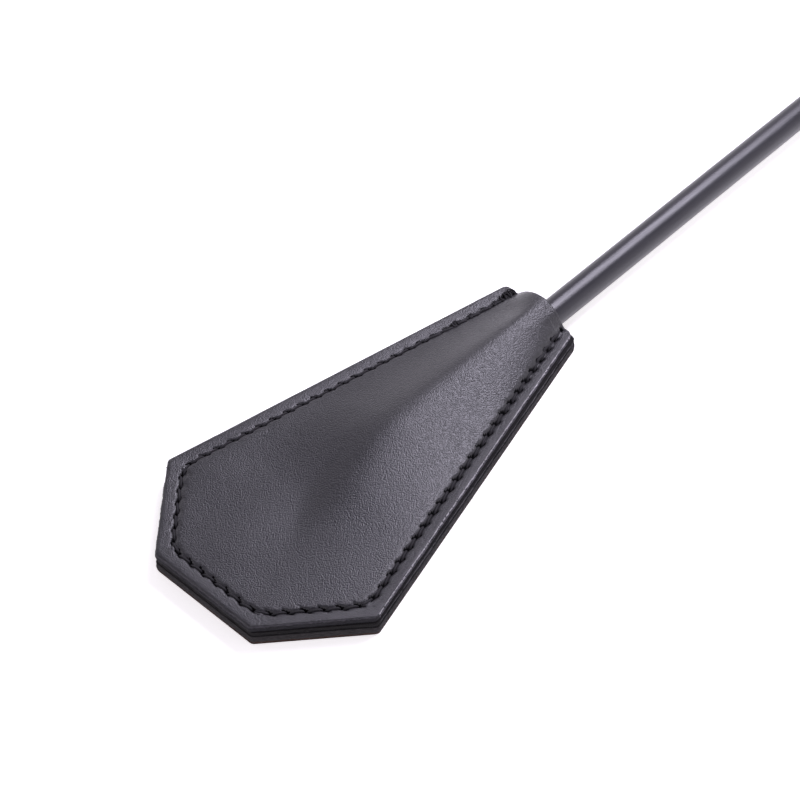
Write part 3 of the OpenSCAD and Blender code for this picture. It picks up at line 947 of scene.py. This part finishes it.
def make_collars(nickel):
    nose_r = SHAFT_R + 1.1
    rear_r = GRIP_FRONT_R + 0.7
    cone_end = COLLAR_LEN - 5.0
    front = rounded(
        [
            (0, SHAFT_R + 0.03), (0, nose_r), (1.6, nose_r + 0.15), (1.9, nose_r + 0.35),
            (cone_end, rear_r), (cone_end + 1.2, rear_r), (cone_end + 1.6, rear_r - 0.4),
            (cone_end + 2.0, rear_r), (COLLAR_LEN - 0.9, rear_r), (COLLAR_LEN, rear_r - 0.5),
            (COLLAR_LEN, GRIP_FRONT_R - 1.3),
        ],
        [0.35, 0.2, 0.15, 2.0, 0.12, 0.12, 0.12, 0.4, 0.2, 0],
    )
    piece = lathe("front_ferrule", closed(spread(front, 1.5)), HANDLE_X, nickel)
    finish_piece(piece, "crop", "collar_metal", "front_collar")

    wall_r = GRIP_REAR_R + 0.4
    bead = 0.8
    beads = []
    for middle in (bead, RING_LEN - bead):
        arc = np.linspace(math.pi, 0, 15)
        beads.append(np.stack([middle + bead * np.cos(arc), wall_r - 0.3 + bead * np.sin(arc)], -1))
    bore_r = GRIP_REAR_R - 1.6
    rear = np.vstack([[(0, bore_r)], *beads, [(RING_LEN, bore_r)]])
    piece = lathe("rear_ferrule", closed(rear), RING_X, nickel)
    finish_piece(piece, "crop", "collar_metal", "rear_collar")


SEAM_STITCHES = 36
SEAM_MARGIN = 4.0
SEAM_STEP = (GRIP_LEN - 2 * SEAM_MARGIN) / (SEAM_STITCHES - 1)
SEAM_ANGLE = math.pi / 2  # the grip's seam faces +Y
SEAM_HALF_W = 1.5
GRIP_BORE_R = 6.25


def grip_radius(s):
    return GRIP_FRONT_R + (GRIP_REAR_R - GRIP_FRONT_R) * np.clip(s / GRIP_LEN, 0, 1)


def grip_relief(s, angle):
    """How far the grip's leather stands from its cone: sunk seam, puffs between stitches, wrinkles."""
    across = (angle - SEAM_ANGLE) * grip_radius(s)
    beat = np.cos(2 * math.pi * (s - SEAM_MARGIN) / SEAM_STEP)
    gap = -0.62 * np.exp(-(across / 0.42) ** 2)
    pulled = (-0.16 - 0.10 * beat) * np.exp(-((np.abs(across) - 1.35) / 0.75) ** 2)
    folds = 0.05 * soft_noise(s, across * 0.35, 5, 11) * np.exp(-(across / 9) ** 2)
    tucked = -0.75 * (np.exp(-s / 0.7) + np.exp(-(GRIP_LEN - s) / 0.7))
    around = 0.035 * soft_noise(s, 6 * np.cos(angle) + 6 * np.sin(angle), 11, 12)
    return gap + pulled + folds + tucked + around


def make_grip(leather, thread):
    fine = np.arange(-3.2, 3.2, 0.16) / GRIP_REAR_R
    coarse = np.linspace(fine[-1], 2 * math.pi + fine[0], 96)[1:-1]
    angles = SEAM_ANGLE + np.concatenate([fine, coarse])
    along = np.linspace(0, GRIP_LEN, 420)
    outer = np.stack([along, grip_radius(along)], -1)
    inner = np.array([(GRIP_LEN, GRIP_BORE_R), (0, GRIP_BORE_R)])
    profile = closed(np.vstack([outer, inner]))

    def relief(s, angle):
        skin = np.arange(len(s))[:, None] < len(along)
        turned = (angle - SEAM_ANGLE + math.pi) % (2 * math.pi) - math.pi + SEAM_ANGLE
        shift = np.where(skin, grip_relief(s, turned), 0)
        shift[-1] = shift[0]
        return shift

    piece = lathe("grip_leather_wrap", profile, GRIP_X, leather, relief, angles)
    finish_piece(piece, "crop", "grip_leather", "grip_wrap")

    parts = []
    u = np.linspace(0, 1, 17)
    for k in range(SEAM_STITCHES):
        slant = 0.48 * SEAM_STEP * (0 < k < SEAM_STITCHES - 1)
        for lean in (-1, 1):
            across = SEAM_HALF_W * (2 * u - 1)
            s = SEAM_MARGIN + k * SEAM_STEP + lean * slant * (u - 0.5)
            r = grip_radius(s) - 0.12 + 0.05 * lean + 0.16 * np.sin(u * math.pi)
            r -= 1.1 * np.abs(2 * u - 1) ** 7
            a = SEAM_ANGLE + across / r
            centres = np.stack([r * np.cos(a), r * np.sin(a), s], -1)
            parts.append(thread_tube(centres, 0.27, sides=9))
    points, faces, uvs = join_parts(parts)
    piece = make_piece("grip_seam_stitches", on_shaft(points, GRIP_X), faces, uvs, [thread])
    finish_piece(piece, "crop", "thread", "grip_seam_thread")


def make_end_cap(plastic):
    """The cap's own shape, with every edge softened as a mould leaves it."""
    source = frame["nodes"]["end_cap"]
    cap = add_object("moulded_end_cap", source.data.copy())
    voxel = cap.modifiers.new("voxel", "REMESH")
    voxel.mode = "VOXEL"
    voxel.voxel_size = 0.22 * MM
    soften = cap.modifiers.new("soften", "SMOOTH")
    soften.factor = 0.5
    soften.iterations = 7
    bpy.context.view_layer.update()
    mesh = bpy.data.meshes.new_from_object(cap.evaluated_get(bpy.context.evaluated_depsgraph_get()))
    cap.modifiers.clear()
    cap.data = mesh
    points = np.empty(len(mesh.vertices) * 3)
    mesh.vertices.foreach_get("co", points)
    points = points.reshape(-1, 3) / MM
    loops = np.empty(len(mesh.loops), np.int32)
    mesh.loops.foreach_get("vertex_index", loops)
    middle = axis_z(CAP_X + CAP_LEN / 2)
    flat = np.stack([points[:, 0], points[:, 1] + 1.3 * (points[:, 2] - middle)], -1)
    while mesh.uv_layers:
        mesh.uv_layers.remove(mesh.uv_layers[0])
    mesh.uv_layers.new(name="rest").data.foreach_set("uv", flat[loops].astype(np.float32).ravel())
    mesh.polygons.foreach_set("use_smooth", np.ones(len(mesh.polygons), bool))
    mesh.materials.clear()
    mesh.materials.append(plastic)
    finish_piece(cap, "crop", "cap_plastic", "end_cap")


# ---- the pin, the eyelet and the wrist loop ----

STRAP_W = 12.0
STRAP_T = 1.8
DOUBLE_LEN = 44.0
LOOP_REACH = 170.0
LOOP_W = 58.0
DROP_PEAK = 0.703  # the largest value of the drop's outline before it is scaled
BLUNT_END = 0.14  # the angle at which the strap's rounded ends are cut off
MOST_PAST = 0.991  # how far past the pin they narrow, as a share of half the strap's width
STRAP_SEAM_X = 27.0
STRAP_PITCH = 3.4
KEEPER_AT = 14.0
KEEPER_LEN = 8.0


def node_middle(name):
    """The middle of a node's box, in millimetres from the mouth."""
    low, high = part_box(name)
    return (np.array(low) + np.array(high)) / 2 / MM - [MOUTH_X, 0, 0]


def node_half(name):
    """Half of a node's size along each axis, in millimetres."""
    low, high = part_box(name)
    return (np.array(high) - np.array(low)) / 2 / MM


def loop_drop():
    """The wrist loop's slope down to the ground, from the way that its keeper slides."""
    slide = next(joint for joint in frame["joints"] if joint["name"] == "keeper_slide")
    return math.atan2(-slide["axis"][2], slide["axis"][0])


def on_loop(points):
    """Points of the loop, drawn with +X from the pin to its far end, moved to their place."""
    turn = np.array(Matrix.Rotation(loop_drop(), 3, "Y"))
    return np.asarray(points) @ turn.T + node_middle("loop_pin")


def both_ends(points, radii):
    """A profile of (along, radius) points and their mirror image, with rounded corners."""
    return rounded(points + [(-y, r) for y, r in points[::-1]], radii + radii[::-1])


def around_pin(name, profile, material):
    """A turned piece around the pin's axis, which is along +Y."""
    angle = round_angles(64)
    shape = len(profile), len(angle)
    r, y = profile[:, 1:], np.broadcast_to(profile[:, :1], shape)
    points = np.stack([r * np.cos(angle), y, -r * np.sin(angle)], -1).reshape(-1, 3)
    uvs = grid_uvs(run_along(profile), angle * profile[:, 1].max())
    faces = grid_faces(*shape, wrap=True)
    return make_piece(name, points + node_middle("loop_pin"), faces, uvs, [material])


def make_pin(steel):
    half = node_half("loop_pin")[1]
    end = [(0.35, 0.001), (0.25, 0.35), (0, 0.55), (0.05, 1.0), (0.45, 1.48)]
    end = [(y - half, r) for y, r in end]
    profile = spread(both_ends(end, [0.08, 0.1, 0.15, 0.3]), 2)
    finish_piece(around_pin("loop_hinge_pin", profile, steel), "crop", "pin_steel", "loop_pin")


def make_eyelet(nickel):
    _, half, flange = node_half("strap_eyelet")
    lip = 0.35 - half
    side = [(0, 1.56), (-half, 1.62), (-half, flange - 0.15), (lip, flange), (lip, 2.38)]
    profile = both_ends(side, [0.12, 0.12, 0.08, 0.05])
    ring = around_pin("strap_eyelet_ring", profile, nickel)
    finish_piece(ring, "wrist_loop", "eyelet_metal", "strap_eyelet")


def strap_section(width, thickness, crease):
    """A strap's cut: (across, out) points, with a pressed line along each edge."""
    half_w, half_t, r = width / 2, thickness / 2, min(0.7, thickness * 0.42)
    arc = np.linspace(0, math.pi / 2, 6)
    corner = np.stack([half_w - r + r * np.sin(arc), half_t - r + r * np.cos(arc)], -1)
    w = np.linspace(0, half_w - r, 22)[:-1]
    line = crease * np.exp(-((w - (half_w - 1.5)) / 0.28) ** 2)
    face = np.stack([w, half_t - line + crease * 0.25 * (1 - (w / half_w) ** 2)], -1)
    quarter = np.vstack([face, corner])
    right = np.vstack([quarter, quarter[::-1] * [1, -1]])
    return np.roll(np.vstack([right, right[::-1][1:-1] * [-1, 1]]), -len(quarter), axis=0)


def perimeter(ring):
    return np.linalg.norm(np.roll(ring, -1, 0) - ring, axis=1).sum()


def band(line, section, width_at, wrap=False):
    """A band along line, (x, y) points in its plane. Section's first number, times width_at, is across."""
    if wrap:
        ways = unit(np.roll(line, -1, 0) - np.roll(line, 1, 0))
    else:
        ways = unit(np.gradient(line, axis=0))
    normals = np.stack([-ways[:, 1], ways[:, 0]], -1)
    flat = line[:, None] + normals[:, None] * section[None, :, 1:]
    across = section[None, :, :1] * width_at[:, None, None]
    points = np.concatenate([flat, across], -1)
    uvs = grid_uvs(run_along(line), run_along(section))
    rows, columns = points.shape[:2]
    faces = grid_faces(rows, columns, wrap=True, flip=True)
    if wrap:
        last = (rows - 1) * columns + np.arange(columns)
        first = np.arange(columns)
        faces = np.vstack([faces, np.stack([last, np.roll(last, -1), np.roll(first, -1), first], -1)])
    return points.reshape(-1, 3), faces, uvs


def strap_line():
    """Middle line of the strap: out along the double part, round the drop, and back."""
    side = (STRAP_T + 0.1) / 2
    open_len = LOOP_REACH - STRAP_T / 2 - DOUBLE_LEN
    drop_w = (LOOP_W - STRAP_T) / 2 / DROP_PEAK
    t = np.linspace(0, 2 * math.pi, 400)
    bulge = drop_w * np.sin(t) * np.abs(np.sin(t / 2)) ** 1.5
    loop = np.stack([DOUBLE_LEN + open_len * (1 - np.cos(t)) / 2, side * np.cos(t / 2) + bulge], -1)
    rest = even(np.vstack([[(0, side)], loop, [(0, -side)]]), 0.9)
    for _ in range(8):
        rest[1:-1] = (rest[:-2] + 2 * rest[1:-1] + rest[2:]) / 4
    x = -STRAP_W / 2 * np.cos(np.linspace(BLUNT_END, math.pi / 2, 20))[:-1]
    end = np.stack([x, np.full(len(x), side)], -1)
    return np.vstack([end, rest, (end * [1, -1])[::-1]])


def even(line, step):
    """The same line with points about a step apart."""
    run = run_along(line)
    s = np.linspace(0, run[-1], math.ceil(run[-1] / step))
    return np.stack([np.interp(s, run, line[:, 0]), np.interp(s, run, line[:, 1])], -1)


def make_strap(leather, thread):
    line = strap_line()
    past = np.clip(-line[:, 0] / (STRAP_W / 2), 0, MOST_PAST)
    section = strap_section(STRAP_W, STRAP_T, 0.16)
    points, faces, uvs = band(line, section, np.sqrt(1 - past ** 2))
    turns = (0, perimeter(section))
    piece = make_piece("wrist_strap_leather", on_loop(points), faces, uvs, [leather], turns=turns)
    finish_piece(piece, "wrist_loop", "strap_leather", "wrist_strap")

    parts = []
    u = np.linspace(0, 1, 11)
    for side in (-1, 1):
        for edge in (-1, 1):
            for k in range(4):
                x = STRAP_SEAM_X + STRAP_PITCH * (k + 0.08 + 0.84 * u)
                y = side * (0.05 + STRAP_T + 0.02 - 0.9 * np.abs(2 * u - 1) ** 6)
                z = edge * (STRAP_W / 2 - 1.5) + 0.12 * (2 * u - 1)
                parts.append(thread_tube(np.stack([x, y, z], -1), 0.24, sides=9))
    points, faces, uvs = join_parts(parts)
    piece = make_piece("wrist_strap_stitches", on_loop(points), faces, uvs, [thread])
    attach(piece, "wrist_loop")


def make_keeper(leather):
    wall = 1.3
    corner = 1.2
    drop = loop_drop()
    _, half_y, half_z = node_half("strap_keeper")
    half_y -= wall / 2
    half_z = (half_z - KEEPER_LEN / 2 * math.sin(drop)) / math.cos(drop) - wall / 2
    corners = [(half_y, half_z), (-half_y, half_z), (-half_y, -half_z), (half_y, -half_z)]
    path = []
    for k, (cy, cz) in enumerate(corners):
        middle = np.array([cy - math.copysign(corner, cy), cz - math.copysign(corner, cz)])
        for a in np.linspace(0, math.pi / 2, 8) + k * math.pi / 2:
            path.append(middle + corner * np.array([math.cos(a), math.sin(a)]))
    path = spread(np.array(path + path[:1]), 0.5)[:-1]
    section = strap_section(KEEPER_LEN, wall, 0.10)
    points, faces, uvs = band(path, section, np.ones(len(path)), wrap=True)
    shaped = np.stack([KEEPER_AT + KEEPER_LEN / 2 + points[:, 2], points[:, 0], points[:, 1]], -1)
    turns = (perimeter(path), perimeter(section))
    piece = make_piece("keeper_leather", on_loop(shaped), faces, uvs, [leather], turns=turns)
    finish_piece(piece, "keeper", "strap_leather", "strap_keeper")


def finish_hidden():
    """The CAD pieces that keep their own shape: the rod, its rubber end and the handle's core."""
    fibre = Shader("glass_fibre", (0.5, 0.5, 0.43), 0.4)
    lines = fibre.noise(40, 4, (0.02, 1, 1))
    fibre.set("Base Color", fibre.tint(lines, 0.3, 0.7, ((0.42, 0.42, 0.35), (0.62, 0.62, 0.55))))
    for node, material in (
        ("core_rod", fibre.material),
        ("handle_core", satin_plastic("core_plastic", (0.03, 0.03, 0.03), 0.5)),
        ("shaft_tip_cap", satin_plastic("tip_rubber", (0.01, 0.01, 0.01), 0.75)),
    ):
        data = frame["nodes"][node].data
        data.materials.clear()
        data.materials.append(material)


def make_handle():
    nickel = brushed_metal("nickel", (0.50, 0.49, 0.465), 0.26)
    steel = brushed_metal("steel", (0.62, 0.62, 0.63), 0.2)
    thread = thread_material("thread")
    leather = grained_leather("grip_leather", (0.017, 0.0165, 0.019), (0.024, 0.023, 0.026), 1.7, 0.06)
    strap = grained_leather("strap_leather", (0.017, 0.0165, 0.019), (0.023, 0.022, 0.025), 2.2, 0.04)
    make_collars(nickel)
    make_grip(leather, thread)
    make_end_cap(satin_plastic("cap_plastic", (0.018, 0.018, 0.020), 0.36))
    make_pin(steel)
    make_eyelet(nickel)
    make_strap(strap, thread)
    make_keeper(strap)
    finish_hidden()


def main():
    add_soft_box(aim_camera())
    light_studio()
    add_floor()
    make_flapper()
    make_threads()
    make_shaft()
    make_handle()


main()
